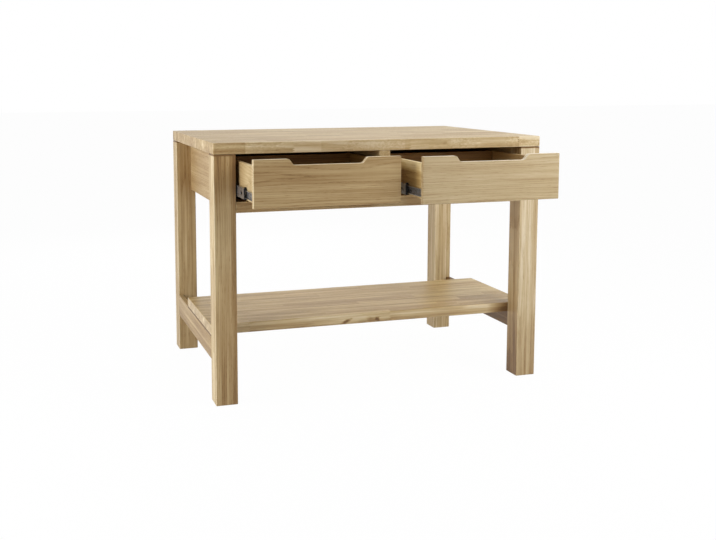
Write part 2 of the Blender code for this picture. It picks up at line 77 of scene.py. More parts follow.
class Graph:
    """The node tree of one material, with a short call for each kind of node."""

    def __init__(self, name):
        self.material = bpy.data.materials.new(name)
        self.material.use_nodes = True
        self.tree = self.material.node_tree
        self.tree.nodes.clear()

    def feed(self, socket, value):
        """Links an output to a socket, or sets the socket's own value."""
        if isinstance(value, bpy.types.NodeSocket):
            self.tree.links.new(value, socket)
        else:
            socket.default_value = value

    def node(self, kind, inputs=None, **settings):
        made = self.tree.nodes.new("ShaderNode" + kind)
        for key, value in settings.items():
            setattr(made, key, value)
        for socket, value in (inputs or {}).items():
            self.feed(made.inputs[socket], value)
        return made

    def math(self, operation, *values):
        made = self.node("Math", operation=operation)
        for socket, value in zip(made.inputs, values):
            self.feed(socket, value)
        return made.outputs[0]

    def times(self, first, second):
        return self.math("MULTIPLY", first, second)

    def total(self, *values):
        result = values[0]
        for value in values[1:]:
            result = self.math("ADD", result, value)
        return result

    def point(self, x, y, z):
        return self.node("CombineXYZ", {"X": x, "Y": y, "Z": z}).outputs[0]

    def vectors(self, operation, first, second):
        """A vector sum, product and so on, as the node that works it out."""
        made = self.node("VectorMath", operation=operation)
        self.feed(made.inputs[0], first)
        self.feed(made.inputs[1], second)
        return made

    def moved(self, place, shift):
        return self.vectors("ADD", place, shift).outputs[0]

    def stretched(self, place, scales):
        """A place scaled axis by axis, so that noise read there is drawn out along one axis."""
        return self.vectors("MULTIPLY", place, scales).outputs[0]

    def noise(self, place, scales, detail=2.0, roughness=0.5, distortion=0.0):
        inputs = {
            "Vector": self.stretched(place, scales),
            "Scale": 1.0,
            "Detail": detail,
            "Roughness": roughness,
            "Distortion": distortion,
        }
        return self.node("TexNoise", inputs).outputs["Fac"]

    def swing(self, value, amount):
        """A noise value between 0 and 1 turned into a change of up to half the amount, up or down."""
        return self.times(self.math("SUBTRACT", value, 0.5), amount)

    def step(self, value, low, high):
        """0 at low and 1 at high, with a smooth rise between them. Low may be the greater of the two."""
        inputs = {"Value": value, "From Min": low, "From Max": high}
        return self.node("MapRange", inputs, interpolation_type="SMOOTHSTEP").outputs["Result"]

    def ramp(self, value, stops, interpolation="LINEAR"):
        made = self.node("ValToRGB", {"Fac": value})
        made.color_ramp.interpolation = interpolation
        elements = made.color_ramp.elements
        while len(elements) < len(stops):
            elements.new(1)
        for element, (position, colour) in zip(elements, stops):
            element.position = position
            element.color = colour
        return made.outputs["Color"]

    def mix(self, factor, first, second, blend="MIX"):
        """Two colours mixed. The node's colour sockets share their names with others and go by number."""
        made = self.node("Mix", data_type="RGBA", blend_type=blend)
        self.feed(made.inputs["Factor"], factor)
        self.feed(made.inputs[6], first)
        self.feed(made.inputs[7], second)
        return made.outputs[2]

    def place(self):
        return self.node("TexCoord").outputs["Object"]

    def axes(self, order):
        """The place's coordinates in another order, such as YZX for a board whose grain runs along Y."""
        parts = self.node("SeparateXYZ", {"Vector": self.place()}).outputs
        return [parts[letter] for letter in order]

    def upward(self):
        """1 on faces that look up and 0 on the others."""
        normal = self.node("NewGeometry").outputs["Normal"]
        rise = self.node("SeparateXYZ", {"Vector": normal}).outputs["Z"]
        return self.step(rise, SIDE_RISE, TOP_RISE)

    def rolled(self, radius):
        """The normal of a surface whose edges are rolled over."""
        return self.node("Bevel", {"Radius": radius}, samples=EDGE_SAMPLES).outputs["Normal"]

    def edge(self, radius):
        """1 on rounded edges and 0 on flat faces."""
        flat = self.node("NewGeometry").outputs["True Normal"]
        facing = self.vectors("DOT_PRODUCT", self.rolled(radius), flat)
        return self.step(facing.outputs["Value"], FLAT_COSINE, EDGE_COSINE)

    def surface(self, settings, height, depth, **normal):
        """A Principled surface with a bump, as the finished material."""
        bump = self.node("Bump", {"Height": height, "Distance": depth, "Strength": 1.0, **normal})
        shader = self.node("BsdfPrincipled", {**settings, "Normal": bump.outputs["Normal"]})
        self.node("OutputMaterial", {"Surface": shader.outputs["BSDF"]})
        return self.material


def srgb(red, green, blue):
    """A colour given as it looks on a screen, 0 to 255, as the linear colour that a shader takes."""
    levels = [channel / 255 for channel in (red, green, blue)]
    linear = [level / 12.92 if level <= 0.04045 else ((level + 0.055) / 1.055) ** 2.4 for level in levels]
    return (*linear, 1)


# Oak

OAK_TONES = (  # from dark streaks to pale sapwood
    (0.0, srgb(112, 82, 47)),
    (0.25, srgb(148, 118, 75)),
    (0.5, srgb(173, 147, 104)),
    (0.75, srgb(195, 173, 131)),
    (1.0, srgb(220, 204, 171)),
)
OAK_ROSE = srgb(168, 132, 96)
NO_TINT = (1, 1, 1, 1)
WHOLE_LENGTH = 9.0  # a stave that is longer than any board, so that no board is joined along its length

CUT_NEEDS = "order stave_width spread figure tone seed"
CUT_CHOICES = " stave_length stagger layer roughness stain top_stain"
CUT_DEFAULTS = [WHOLE_LENGTH, 0.0, 0.3, 0.46, NO_TINT, NO_TINT]
Cut = namedtuple("Cut", CUT_NEEDS + CUT_CHOICES, defaults=CUT_DEFAULTS)
# How a board is sawn and glued: its axes along the grain, across the staves and through the board, the
# staves' width, how much they differ, how strong their figure is, how pale they are, where in the log they
# come from, their length and how far their ends are staggered, the distance that separates one board from
# the next through its thickness, how rough they are, and the tints that their colour is multiplied by, on
# every face and on faces that look up, which are painted light.
"""How a board is sawn and glued: its axes along the grain, across the staves and through the board, the
staves' width, how much they differ, how strong their figure is, how pale they are, where in the log they
come from, their length and how far their ends are staggered, the distance that separates one board from
the next through its thickness, how rough they are, and the colours that the oil multiplies theirs by, on
every face and on faces that look up."""

Grain = namedtuple("Grain", "scales amount")
"""A noise: how fine it is along three axes, and how much it changes a tone or a distance."""

STREAKS = Grain((1.5, 48, 48), 0.90)
SHORT_STREAKS = Grain((5.5, 90, 90), 0.50)
FINE_LINES = Grain((2.4, 170, 170), 0.40)
FIBRES = Grain((7, 420, 420), 0.20)
CLOUDS = Grain((3.2, 11, 11), 0.45)
PORES = Grain((38, 1150, 1150), -0.22)
PORE_LEVELS = (0.56, 0.66)  # of the noise, from no pore to a full one
LATE_PORES = 0.25  # how deep the pores are in late wood, to which early wood adds 1
EARLY_WOOD = (0.55, 0.1)  # share of a year's ring where the early wood ends, and where it is full
EARLY_TONE = -0.09
SEAM_TONE = -0.28
# painted highlight that pales the rounded edges
EDGE_HIGHLIGHT_TONE = 0.32
EDGE_ROUND = 0.003
BLUSH_START = 0.45  # share of the staves that have no blush
BLUSH_AMOUNT = 0.8
CLOUD_ROUGHNESS = 0.14
PORE_ROUGHNESS = 0.2
PORE_HEIGHT = -1.0
SEAM_HEIGHT = -0.6
FIBRE_HEIGHT = 0.35
OAK_RELIEF = 0.00012
OAK_IOR = 1.48

FINGER_LENGTH = 0.010
FINGER_PITCH = 0.0076
FINGER_SHIFT = 1.0  # added to the place through a board, which keeps it above zero
LAYER_STEP = 17.0  # keeps the random numbers of two layers apart
SEAM_WIDTH = 0.0005
LOG_SIZE = 9.0  # how far apart in the noise two staves are cut

RING_WIDTH = 0.0042
RING_WANDER = Grain((1.6, 9, 9), 0.022)
PITH_WANDER = Grain((0.7, 2, 2), 0.03)
PITH_SPREAD = 0.16  # how far apart across a stave two piths can lie
PITH_DEPTH = 0.012
PITH_DEPTH_SPREAD = 0.10


class Stave:
    """Which stave a point lies in: random numbers for it, and how near the point is to its glue lines."""

    def __init__(self, graph, cut):
        self.along, self.across, self.through = graph.axes(cut.order)
        across_count = graph.math("ADD", graph.math("DIVIDE", self.across, cut.stave_width), cut.seed)
        row = graph.math("FLOOR", across_count)
        layer = graph.math("ROUND", graph.math("DIVIDE", self.through, cut.layer))
        row_key = graph.math("ADD", row, graph.times(layer, LAYER_STEP))
        row_random = graph.node("TexWhiteNoise", {"W": row_key}, noise_dimensions="1D").outputs["Value"]
        fingers = graph.math("PINGPONG", graph.math("ADD", self.through, FINGER_SHIFT), FINGER_PITCH / 2)
        zigzag = graph.times(fingers, 2 * FINGER_LENGTH / FINGER_PITCH)
        along_count = graph.math("DIVIDE", graph.math("ADD", self.along, zigzag), cut.stave_length)
        along_count = graph.total(along_count, graph.times(row_random, cut.stagger), 0.5)
        piece = graph.math("FLOOR", along_count)
        key = graph.point(row, piece, layer)
        colour = graph.node("TexWhiteNoise", {"Vector": key}, noise_dimensions="3D").outputs["Color"]
        self.random = graph.node("SeparateColor", {"Color": colour}).outputs
        self.origin = graph.stretched(colour, (LOG_SIZE, LOG_SIZE, LOG_SIZE))
        from_middle = graph.math("SUBTRACT", graph.math("FRACT", across_count), 0.5)
        self.centred = graph.times(from_middle, cut.stave_width)
        side_gap = graph.math("SUBTRACT", cut.stave_width / 2, graph.math("ABSOLUTE", self.centred))
        end_place = graph.math("ABSOLUTE", graph.math("SUBTRACT", graph.math("FRACT", along_count), 0.5))
        end_gap = graph.times(graph.math("SUBTRACT", 0.5, end_place), cut.stave_length)
        self.seam = graph.step(graph.math("MINIMUM", side_gap, end_gap), SEAM_WIDTH, 0.0)


def growth_rings(graph, stave, place):
    """How late in its year the wood grew, 0 to 1: rings round a pith that lies beside the stave."""
    wander = graph.swing(graph.noise(place, RING_WANDER.scales, detail=3), RING_WANDER.amount)
    pith_across = graph.swing(stave.random[0], PITH_SPREAD)
    pith_depth = graph.math("ADD", graph.times(stave.random[1], PITH_DEPTH_SPREAD), PITH_DEPTH)
    side = graph.math("SUBTRACT", stave.centred, pith_across)
    depth_wander = graph.swing(graph.noise(place, PITH_WANDER.scales), PITH_WANDER.amount)
    depth = graph.math("ADD", depth_wander, pith_depth)
    squares = graph.math("ADD", graph.times(side, side), graph.times(depth, depth))
    radius = graph.math("ADD", graph.math("SQRT", squares), wander)
    return graph.math("FRACT", graph.math("DIVIDE", radius, RING_WIDTH))


def oak(name, cut, *marks):
    """Oiled oak, glued up from staves, each with its own tone, rings, pores and streaks, and a painted
    highlight on its rounded edges. Marks change the tone, many of them with painted light and shade."""
    graph = Graph(name)
    stave = Stave(graph, cut)
    place = graph.moved(graph.point(stave.along, stave.across, stave.through), stave.origin)
    early_wood = graph.step(growth_rings(graph, stave, place), *EARLY_WOOD)
    fibres = graph.noise(place, FIBRES.scales)
    clouds = graph.noise(place, CLOUDS.scales)
    pore_noise = graph.noise(place, PORES.scales, detail=1)
    pores = graph.times(graph.step(pore_noise, *PORE_LEVELS), graph.math("ADD", early_wood, LATE_PORES))
    paleness = graph.total(
        cut.tone,
        graph.swing(stave.random[2], cut.spread),
        graph.swing(graph.noise(place, STREAKS.scales), STREAKS.amount * cut.figure),
        graph.swing(graph.noise(place, SHORT_STREAKS.scales), SHORT_STREAKS.amount * cut.figure),
        graph.swing(graph.noise(place, FINE_LINES.scales), FINE_LINES.amount),
        graph.swing(fibres, FIBRES.amount),
        graph.swing(clouds, CLOUDS.amount * cut.figure),
        graph.times(early_wood, EARLY_TONE),
        graph.times(pores, PORES.amount),
        graph.times(stave.seam, SEAM_TONE),
        graph.times(graph.edge(EDGE_ROUND), EDGE_HIGHLIGHT_TONE),
        *[mark(graph) for mark in marks],
    )
    colour = graph.ramp(paleness, OAK_TONES)
    blush = graph.times(graph.step(stave.random[0], BLUSH_START, 1.0), BLUSH_AMOUNT * cut.spread)
    colour = graph.mix(blush, colour, OAK_ROSE)
    # painted light: the cut's tints, on every face and on faces that look up
    colour = graph.mix(1.0, colour, cut.stain, "MULTIPLY")
    colour = graph.mix(graph.upward(), colour, cut.top_stain, "MULTIPLY")
    cloudy = graph.swing(clouds, CLOUD_ROUGHNESS)
    roughness = graph.total(cut.roughness, cloudy, graph.times(pores, PORE_ROUGHNESS))
    height = graph.total(
        graph.times(pores, PORE_HEIGHT),
        graph.times(stave.seam, SEAM_HEIGHT),
        graph.times(fibres, FIBRE_HEIGHT),
    )
    settings = {"Base Color": colour, "Roughness": roughness, "IOR": OAK_IOR}
    return graph.surface(settings, height, OAK_RELIEF)


# Marks on oak: functions that give the change of its tone, for knots and for painted light and shade

CONTACT_SHADOW_DEPTH = 0.006  # how far down a piece gets a painted shadow from one that lies on it
CONTACT_SHADOW_TONES = ((0.4, 0.0), (1.0, -0.9))  # of the painted shadow, up that depth
KNOT_RIM = Grain((70, 70, 70), 0.9)
KNOT_HEART = 0.2  # share of a knot's radius that is fully dark


def strips(letter, low, high, ends_and_tones, interpolation="CONSTANT"):
    """Strips between two places along an axis, each given by its end, as a share, and its tone, -1 to 1."""
    def tone(graph):
        value = graph.axes(letter)[0]
        share = graph.math("DIVIDE", graph.math("SUBTRACT", value, low), high - low)
        stops = []
        start = 0.0
        for end, strip_tone in ends_and_tones:
            level = (1 + strip_tone) / 2
            stops.append((start, (level, level, level, 1)))
            start = end
        return graph.math("MULTIPLY_ADD", graph.ramp(share, stops, interpolation), 2.0, -1.0)
    return tone


def within(letter, low, high, mark):
    """A mark that is kept between two places along an axis."""
    def tone(graph):
        value = graph.axes(letter)[0]
        above = graph.step(value, low - SEAM_WIDTH, low)
        below = graph.step(value, high + SEAM_WIDTH, high)
        return graph.times(mark(graph), graph.times(above, below))
    return tone


def on_front(graph, board_low, depth):
    """1 on a board's front edge, as far back as the depth, and 0 behind it."""
    back = board_low.y + depth
    return graph.step(graph.axes("Y")[0], back, back - SEAM_WIDTH)


def painted_contact_shadow(top):
    """A painted shadow along a piece's upper edge, where another lies on it."""
    return strips("Z", top - CONTACT_SHADOW_DEPTH, top, CONTACT_SHADOW_TONES, "LINEAR")


def knot(place, radii, lean, depth):
    """A dark knot with a ragged rim, which leans along X as it rises."""
    def tone(graph):
        x, y, z = graph.axes("XYZ")
        rise = graph.math("SUBTRACT", z, place[2])
        sideways = graph.math("SUBTRACT", graph.math("SUBTRACT", x, place[0]), graph.times(rise, lean))
        offset = graph.point(sideways, graph.math("SUBTRACT", y, place[1]), rise)
        reach = graph.node("VectorMath", operation="LENGTH")
        graph.feed(reach.inputs[0], graph.stretched(offset, [1 / radius for radius in radii]))
        rim = graph.swing(graph.noise(graph.place(), KNOT_RIM.scales), KNOT_RIM.amount)
        heart = graph.step(graph.math("ADD", reach.outputs["Value"], rim), 1.0, KNOT_HEART)
        return graph.times(heart, -depth)
    return tone


# Plywood and dowels

PLAIN_FIGURE = Grain((3.0, 26, 26), 0.9)
PLAIN_FIBRES = Grain((14, 520, 520), 0.4)
FLECKS = Grain((90, 900, 900), -0.3)
FLECK_LEVELS = (0.62, 0.72)  # of the noise, from no fleck to a full one
PLAIN_TONE = 0.5
PLAIN_ROUGHNESS_SWING = 0.12
PLAIN_RELIEF = 0.00006


def plain_wood(name, order, dark, pale, roughness):
    """A close-grained pale wood with faint wavy figure."""
    graph = Graph(name)
    place = graph.point(*graph.axes(order))
    figure = graph.noise(place, PLAIN_FIGURE.scales, detail=3, roughness=0.55, distortion=0.6)
    fibres = graph.noise(place, PLAIN_FIBRES.scales)
    flecks = graph.step(graph.noise(place, FLECKS.scales, detail=1), *FLECK_LEVELS)
    paleness = graph.total(
        PLAIN_TONE,
        graph.swing(figure, PLAIN_FIGURE.amount),
        graph.swing(fibres, PLAIN_FIBRES.amount),
        graph.times(flecks, FLECKS.amount),
    )
    settings = {
        "Base Color": graph.ramp(paleness, ((0.0, dark), (1.0, pale))),
        "Roughness": graph.math("ADD", roughness, graph.swing(figure, PLAIN_ROUGHNESS_SWING)),
    }
    return graph.surface(settings, fibres, PLAIN_RELIEF)


# Metal and plastic

PLATING = Grain((70, 70, 70), 0.6)
PLATING_SHINE = 0.25
BRUSHING_AMOUNT = 0.3
# painted highlight on the bends
BEND_HIGHLIGHT = 0.7
HOLLOW_REACH = 0.012  # how far from a surface its neighbours cast painted shade on it
HOLLOW_LEVELS = (0.15, 0.6)  # how open a surface is where the painted shade is full, and where there is none
HOLLOW_SAMPLES = 4
# the colour of the painted shade in hollows
HOLLOW_SHADE = srgb(26, 25, 24)
ZINC_METALLIC = 0.88
ZINC_ROUGHNESS = 0.30
PLATING_ROUGHNESS = 0.18
BRUSHING_ROUGHNESS = 0.1
METAL_RELIEF = 0.00003


def zinc(name, dull, bright, brushing, bend):
    """Zinc-plated steel, cloudy and finely scratched, with a painted highlight on its bends and painted
    shade in its hollows.
    """
    graph = Graph(name)
    place = graph.place()
    drawn = graph.noise(place, brushing)
    clouds = graph.noise(place, PLATING.scales, detail=3, roughness=0.6)
    plating_and_highlight = graph.total(
        PLATING_SHINE,
        graph.swing(drawn, BRUSHING_AMOUNT),
        graph.swing(clouds, PLATING.amount),
        graph.times(graph.edge(bend), BEND_HIGHLIGHT),
    )
    bare = graph.ramp(plating_and_highlight, ((0.0, dull), (1.0, bright)))
    hollows = graph.node("AmbientOcclusion", {"Distance": HOLLOW_REACH}, samples=HOLLOW_SAMPLES)
    openness = graph.step(hollows.outputs["AO"], *HOLLOW_LEVELS)
    cloudy = graph.swing(clouds, PLATING_ROUGHNESS)
    scratched = graph.swing(drawn, BRUSHING_ROUGHNESS)
    settings = {
        "Base Color": graph.mix(openness, HOLLOW_SHADE, bare),
        "Metallic": ZINC_METALLIC,
        "Roughness": graph.total(ZINC_ROUGHNESS, cloudy, scratched),
    }
    return graph.surface(settings, drawn, METAL_RELIEF, Normal=graph.rolled(bend))


MOULD_GRAIN = Grain((2400, 2400, 2400), 0.3)
SCUFFS = Grain((160, 160, 160), 0.6)
PLASTIC_WEAR = 0.2
PLASTIC_EDGE = 0.0008
PLASTIC_EDGE_WEAR = 0.5
PLASTIC_ROUGHNESS = 0.46
SCUFF_ROUGHNESS = 0.2
PLASTIC_SPECULAR = 0.25
PLASTIC_RELIEF = 0.00003


def moulded_plastic(name, deep, worn):
    """Black plastic with a fine moulded grain, scuffed grey along its edges."""
    graph = Graph(name)
    place = graph.place()
    grain = graph.noise(place, MOULD_GRAIN.scales, detail=1)
    scuffs = graph.noise(place, SCUFFS.scales, detail=3)
    wear = graph.total(
        graph.swing(scuffs, SCUFFS.amount),
        graph.swing(grain, MOULD_GRAIN.amount),
        PLASTIC_WEAR,
        graph.times(graph.edge(PLASTIC_EDGE), PLASTIC_EDGE_WEAR),
    )
    settings = {
        "Base Color": graph.ramp(wear, ((0.0, deep), (1.0, worn))),
        "Roughness": graph.math("ADD", PLASTIC_ROUGHNESS, graph.swing(scuffs, SCUFF_ROUGHNESS)),
        "Specular IOR Level": PLASTIC_SPECULAR,
    }
    return graph.surface(settings, grain, PLASTIC_RELIEF)


# Cuts of oak for the boards

LEG_STRIPS = 4
BOARD_STAVE = 0.0975  # width of a stave in the aprons, stretchers and rail
FRONT_STAVE = 0.0790  # in the drawer fronts
BOX_STAVE = 0.1500  # in the drawers' sides and backs

worktop_low, worktop_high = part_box("worktop")
shelf_low, shelf_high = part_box("lower_shelf")
leg_low, leg_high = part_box("front_left_leg")
leg_laminate = (leg_high.x - leg_low.x) / LEG_STRIPS

# painted light: the warm tint of bounce light on the shaded drawer sides
WARM_BOUNCE_TINT = (1.0, 0.94, 0.76, 1)
# painted light: a warmer tint on the shelf's top against its pale sheen
SHELF_TOP_TINT = (1.0, 0.96, 0.78, 1)
# painted light: paler, cooler tints for the brightly lit right drawer front and front right leg
RIGHT_FRONT_LIT_TINT = (0.98, 1.01, 1.10, 1)
RIGHT_LEG_LIT_TINT = (0.99, 1.01, 1.09, 1)

WORKTOP_CUT = Cut("XYZ", 0.043, spread=0.28, figure=1.1, tone=0.66, seed=0.35,
                  stave_length=0.42, stagger=6.3, layer=2.0, roughness=0.44)
SHELF_CUT = Cut("XYZ", 0.040, spread=0.26, figure=1.2, tone=0.80, seed=3.15,
                stave_length=0.52, stagger=5.1, layer=2.0, roughness=0.38, top_stain=SHELF_TOP_TINT)
LEG_CUT = Cut("ZXY", leg_laminate, spread=0.16, figure=0.9, tone=0.57, seed=7.0)
APRON_CUT = Cut("YZX", BOARD_STAVE, spread=0.16, figure=0.7, tone=0.56, seed=2.2)
LEFT_STRETCHER_CUT = Cut("YZX", BOARD_STAVE, spread=0.20, figure=0.8, tone=0.35, seed=2.2)
# The right stretcher's darker tone is painted shade.
RIGHT_STRETCHER_CUT = LEFT_STRETCHER_CUT._replace(tone=0.12)
WIDTH_BOARD_CUT = Cut("XZY", BOARD_STAVE, spread=0.24, figure=0.8, tone=0.30, seed=4.2)
LEFT_FRONT_CUT = Cut("XZY", FRONT_STAVE, spread=0.16, figure=0.5, tone=0.42, seed=6.35, layer=0.05)
# The right drawer front's paler tone and tint are painted light.
RIGHT_FRONT_CUT = LEFT_FRONT_CUT._replace(tone=0.70, stain=RIGHT_FRONT_LIT_TINT)
DRAWER_SIDE_CUT = Cut("YZX", BOX_STAVE, spread=0.20, figure=0.3, tone=0.68, seed=8.2, layer=0.2)
# The drawer backs' dark tone is painted shade for the drawers' dark insides.
DRAWER_BACK_CUT = Cut("XZY", BOX_STAVE, spread=0.20, figure=0.6, tone=0.14, seed=9.2, layer=0.2)


def give(names, material):
    for name in names:
        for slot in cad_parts[name].material_slots:
            slot.link = "OBJECT"
            slot.material = material


def ending(*endings):
    return [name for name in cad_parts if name.endswith(endings)]


# Worktop

WORKTOP_STAVE_DEPTH = 0.036  # how far back its front stave reaches
WORKTOP_PAINTED_SHADE = ((0.5, -0.09), (0.95, 0.0), (1.0, 0.07))  # painted shade and light behind its front stave, from left to right
WORKTOP_LENGTHS = (  # along its front edge, from left to right
    (0.089, -0.06), (0.305, 0.16), (0.562, 0.04), (0.704, -0.04), (0.927, 0.0), (1.0, 0.34),
)
WORKTOP_CURLS = (  # how curly the wood is there
    (0.20, 0.3), (0.37, 0.0), (0.56, 0.4), (0.70, 0.1), (0.80, 0.45), (0.88, 0.1), (1.0, 0.5),
)
CURLY_FIGURE = Grain((46, 46, 70), 1.3)
CURL_DISTORTION = 2.5


def worktop_painted_shade():
    """How the worktop pales to the right behind its front stave, as painted shade and light."""
    shade = strips("X", worktop_low.x, worktop_high.x, WORKTOP_PAINTED_SHADE, "LINEAR")
    return within("Y", worktop_low.y + WORKTOP_STAVE_DEPTH, worktop_high.y, shade)


def worktop_edge_mark():
    """The lengths of oak that are joined end to end along the front edge, some with curly figure."""
    lengths = strips("X", worktop_low.x, worktop_high.x, WORKTOP_LENGTHS)
    curliness = strips("X", worktop_low.x, worktop_high.x, WORKTOP_CURLS)

    def tone(graph):
        noise = graph.noise(graph.place(), CURLY_FIGURE.scales, distortion=CURL_DISTORTION)
        figure = graph.times(graph.swing(noise, CURLY_FIGURE.amount), curliness(graph))
        both = graph.math("ADD", lengths(graph), figure)
        return graph.times(both, on_front(graph, worktop_low, WORKTOP_STAVE_DEPTH))
    return tone


give(["worktop"], oak("oak_worktop", WORKTOP_CUT, worktop_painted_shade(), worktop_edge_mark()))

# Shelf

SHELF_EDGE_DEPTH = 0.002
SHELF_PAINTED_SHADE = ((0.4, -0.15), (1.0, 0.0))  # painted shade, darker at the left, from left to right
SHELF_EDGE_SHADE_ALONG = (  # painted light and shade along its front edge, from left to right, with the front right leg's painted shadow at the right end
    (0.2, 0.15), (0.48, -0.12), (0.74, -0.12), (0.868, 0.0), (0.90, 0.12), (0.94, -0.36), (1.0, -0.80),
)
SHELF_EDGE_SHADE_UP = ((0.10, -0.40), (0.57, -0.14), (0.62, -0.12), (1.0, 0.06))  # painted shade up its front edge, darkest low down
SHELF_KNOTS = (  # place along X, drop below the edge's middle, radii, lean and depth of colour
    (-0.112, 0.007, (0.018, 0.010, 0.013), 1.5, 0.8),
    (0.006, 0.007, (0.012, 0.010, 0.014), -0.3, 0.8),
    (-0.012, 0.007, (0.034, 0.010, 0.012), 0.0, 0.35),
)


def shelf_edge_shade():
    """Painted light and shade on the shelf's front edge: a painted shadow at its right end, painted shade
    along its lower side, and paler near its top.
    """
    # painted light and shade along the edge, and painted shade up it
    lengths = strips("X", shelf_low.x, shelf_high.x, SHELF_EDGE_SHADE_ALONG, "LINEAR")
    bands = strips("Z", shelf_low.z, shelf_high.z, SHELF_EDGE_SHADE_UP, "LINEAR")

    def tone(graph):
        both = graph.math("ADD", lengths(graph), bands(graph))
        return graph.times(both, on_front(graph, shelf_low, SHELF_EDGE_DEPTH))
    return tone


def shelf_knots():
    """The knots in the shelf's front edge."""
    edge_z = (shelf_low.z + shelf_high.z) / 2
    marks = []
    for x, drop, radii, lean, depth in SHELF_KNOTS:
        marks.append(knot((x, shelf_low.y, edge_z - drop), radii, lean, depth))
    return marks


# painted shade, darker at the shelf's left
shelf_painted_shade = strips("X", shelf_low.x, shelf_high.x, SHELF_PAINTED_SHADE, "LINEAR")
give(["lower_shelf"], oak("oak_shelf", SHELF_CUT, shelf_painted_shade, shelf_edge_shade(), *shelf_knots()))

# Legs

FACE_STRIP = 0.03  # share of a leg's width that its left face strip takes, whose tone is painted light and shade on the left face
LEG_TONES = {  # of the face strip, painted light and shade, and the four strips, from left to right
    "front_left_leg": (0.40, -0.06, -0.02, 0.06, -0.24),
    "front_right_leg": (0.20, 0.34, 0.26, 0.32, 0.14),
    "rear_left_leg": (0.36, 0.04, -0.10, -0.04, 0.06),
    "rear_right_leg": (0.46, 0.26, 0.10, 0.28, 0.14),
}
LEG_PAINTED_SHADE = {  # painted shade and light, from the foot up
    "front_left_leg": (
        (0.20, -0.16), (0.40, -0.09), (0.60, -0.02), (0.72, 0.08), (0.80, 0.08), (0.87, 0.0), (1.0, -0.26),
    ),
    "front_right_leg": ((0.10, -0.43), (0.20, -0.33), (0.32, -0.23), (1.0, 0.0)),
    "rear_left_leg": ((0.72, 0.0), (0.80, 0.0), (1.0, -0.14)),
}
SHADED_SIDES = ("front_right_leg",)  # legs whose left face gets the painted shade up its height as the front does
# painted light on the brightly lit front right leg
LEG_LIT_TINTS = {"front_right_leg": RIGHT_LEG_LIT_TINT}


def leg_marks(name):
    """A leg's glued strips, painted shade and light up its height, and a painted shadow under the worktop.
    """
    low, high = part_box(name)
    ends = [FACE_STRIP] + [(count + 1) / LEG_STRIPS for count in range(LEG_STRIPS)]
    marks = [strips("X", low.x, high.x, list(zip(ends, LEG_TONES[name])))]
    if name in LEG_PAINTED_SHADE:
        shade = strips("Z", low.z, high.z, LEG_PAINTED_SHADE[name], "LINEAR")
        side_end = low.x if name in SHADED_SIDES else low.x + FACE_STRIP * (high.x - low.x)
        marks.append(within("X", side_end, high.x, shade))
    marks.append(painted_contact_shadow(high.z))
    return marks


for name in LEG_TONES:
    cut = LEG_CUT._replace(stain=LEG_LIT_TINTS.get(name, NO_TINT))
    give([name], oak("oak_" + name, cut, *leg_marks(name)))

# Aprons, stretchers and rail

RAIL_PAINTED_LIGHT = ((0.45, 0.0), (0.49, 0.0), (0.54, 0.28), (0.59, 0.28), (1.0, 0.0))  # painted light, paler in the middle


def stretcher_contact_shadow(name):
    """A painted shadow along the line where the shelf lies on a stretcher."""
    line = painted_contact_shadow(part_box(name)[1].z)
    return within("Y", shelf_low.y, shelf_high.y, line)


def rail_painted_light():
    """Painted light on the middle of the front rail."""
    low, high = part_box("front_rail")
    return strips("X", low.x, high.x, RAIL_PAINTED_LIGHT, "EASE")


give(["left_side_apron", "right_side_apron", "centre_divider"], oak("oak_apron", APRON_CUT))
give(["back_apron"], oak("oak_width_board", WIDTH_BOARD_CUT))
for name, cut in (("left_stretcher", LEFT_STRETCHER_CUT), ("right_stretcher", RIGHT_STRETCHER_CUT)):
    give([name], oak("oak_" + name, cut, stretcher_contact_shadow(name)))
give(["front_rail"], oak("oak_front_rail", WIDTH_BOARD_CUT, rail_painted_light()))

# Drawers

FRONT_END = 0.003  # share of a drawer front's width that its end grain takes
# painted highlight on the left drawer front's ends and painted shade on the right one's
FRONT_END_LIGHT_AND_SHADE = {"left_drawer_front": 0.40, "right_drawer_front": -0.16}
# painted highlight on the upward faces of the drawer fronts
TOP_HIGHLIGHT_TONE = 0.45
SIDE_FRONT_LIGHT = ((0.017, 0.30), (0.045, 0.20), (0.079, -0.04))  # painted light back from a drawer side's front end, in metres
SIDE_REAR_SHADE = ((0.45, 0.06), (1.0, -0.18))  # painted shade behind that, as shares of the side's length
SIDE_SHADOW_AND_LIGHT = {  # painted shadow low down and painted light along the top, up the height of one side
    "right_drawer_left_side": ((0.68, -0.20), (0.74, -0.20), (0.86, 0.10), (0.97, 0.25), (1.0, 0.55)),
}
# painted bounce light on the two inner drawer sides
SIDE_BOUNCE_TINTS = {"left_drawer_right_side": WARM_BOUNCE_TINT, "right_drawer_left_side": WARM_BOUNCE_TINT}


def front_end_light_and_shade(name):
    """Painted light and shade on the end grain at both ends of a drawer front."""
    low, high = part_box(name)
    end_tone = FRONT_END_LIGHT_AND_SHADE[name]
    return strips("X", low.x, high.x, ((FRONT_END, end_tone), (1 - FRONT_END, 0.0), (1.0, end_tone)))


def painted_top_highlight(graph):
    """A painted highlight on the edges that face up."""
    return graph.times(graph.upward(), TOP_HIGHLIGHT_TONE)


def drawer_side_marks(name):
    """How a drawer side's tone changes behind its front end, as painted light and shade, and the painted
    shadow and light up one of the sides.
    """
    low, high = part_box(name)
    length = high.y - low.y
    shares = [(end / length, tone) for end, tone in SIDE_FRONT_LIGHT]
    marks = [strips("Y", low.y, high.y, shares + list(SIDE_REAR_SHADE), "EASE")]
    if name in SIDE_SHADOW_AND_LIGHT:
        marks.append(strips("Z", low.z, high.z, SIDE_SHADOW_AND_LIGHT[name], "LINEAR"))
    return marks


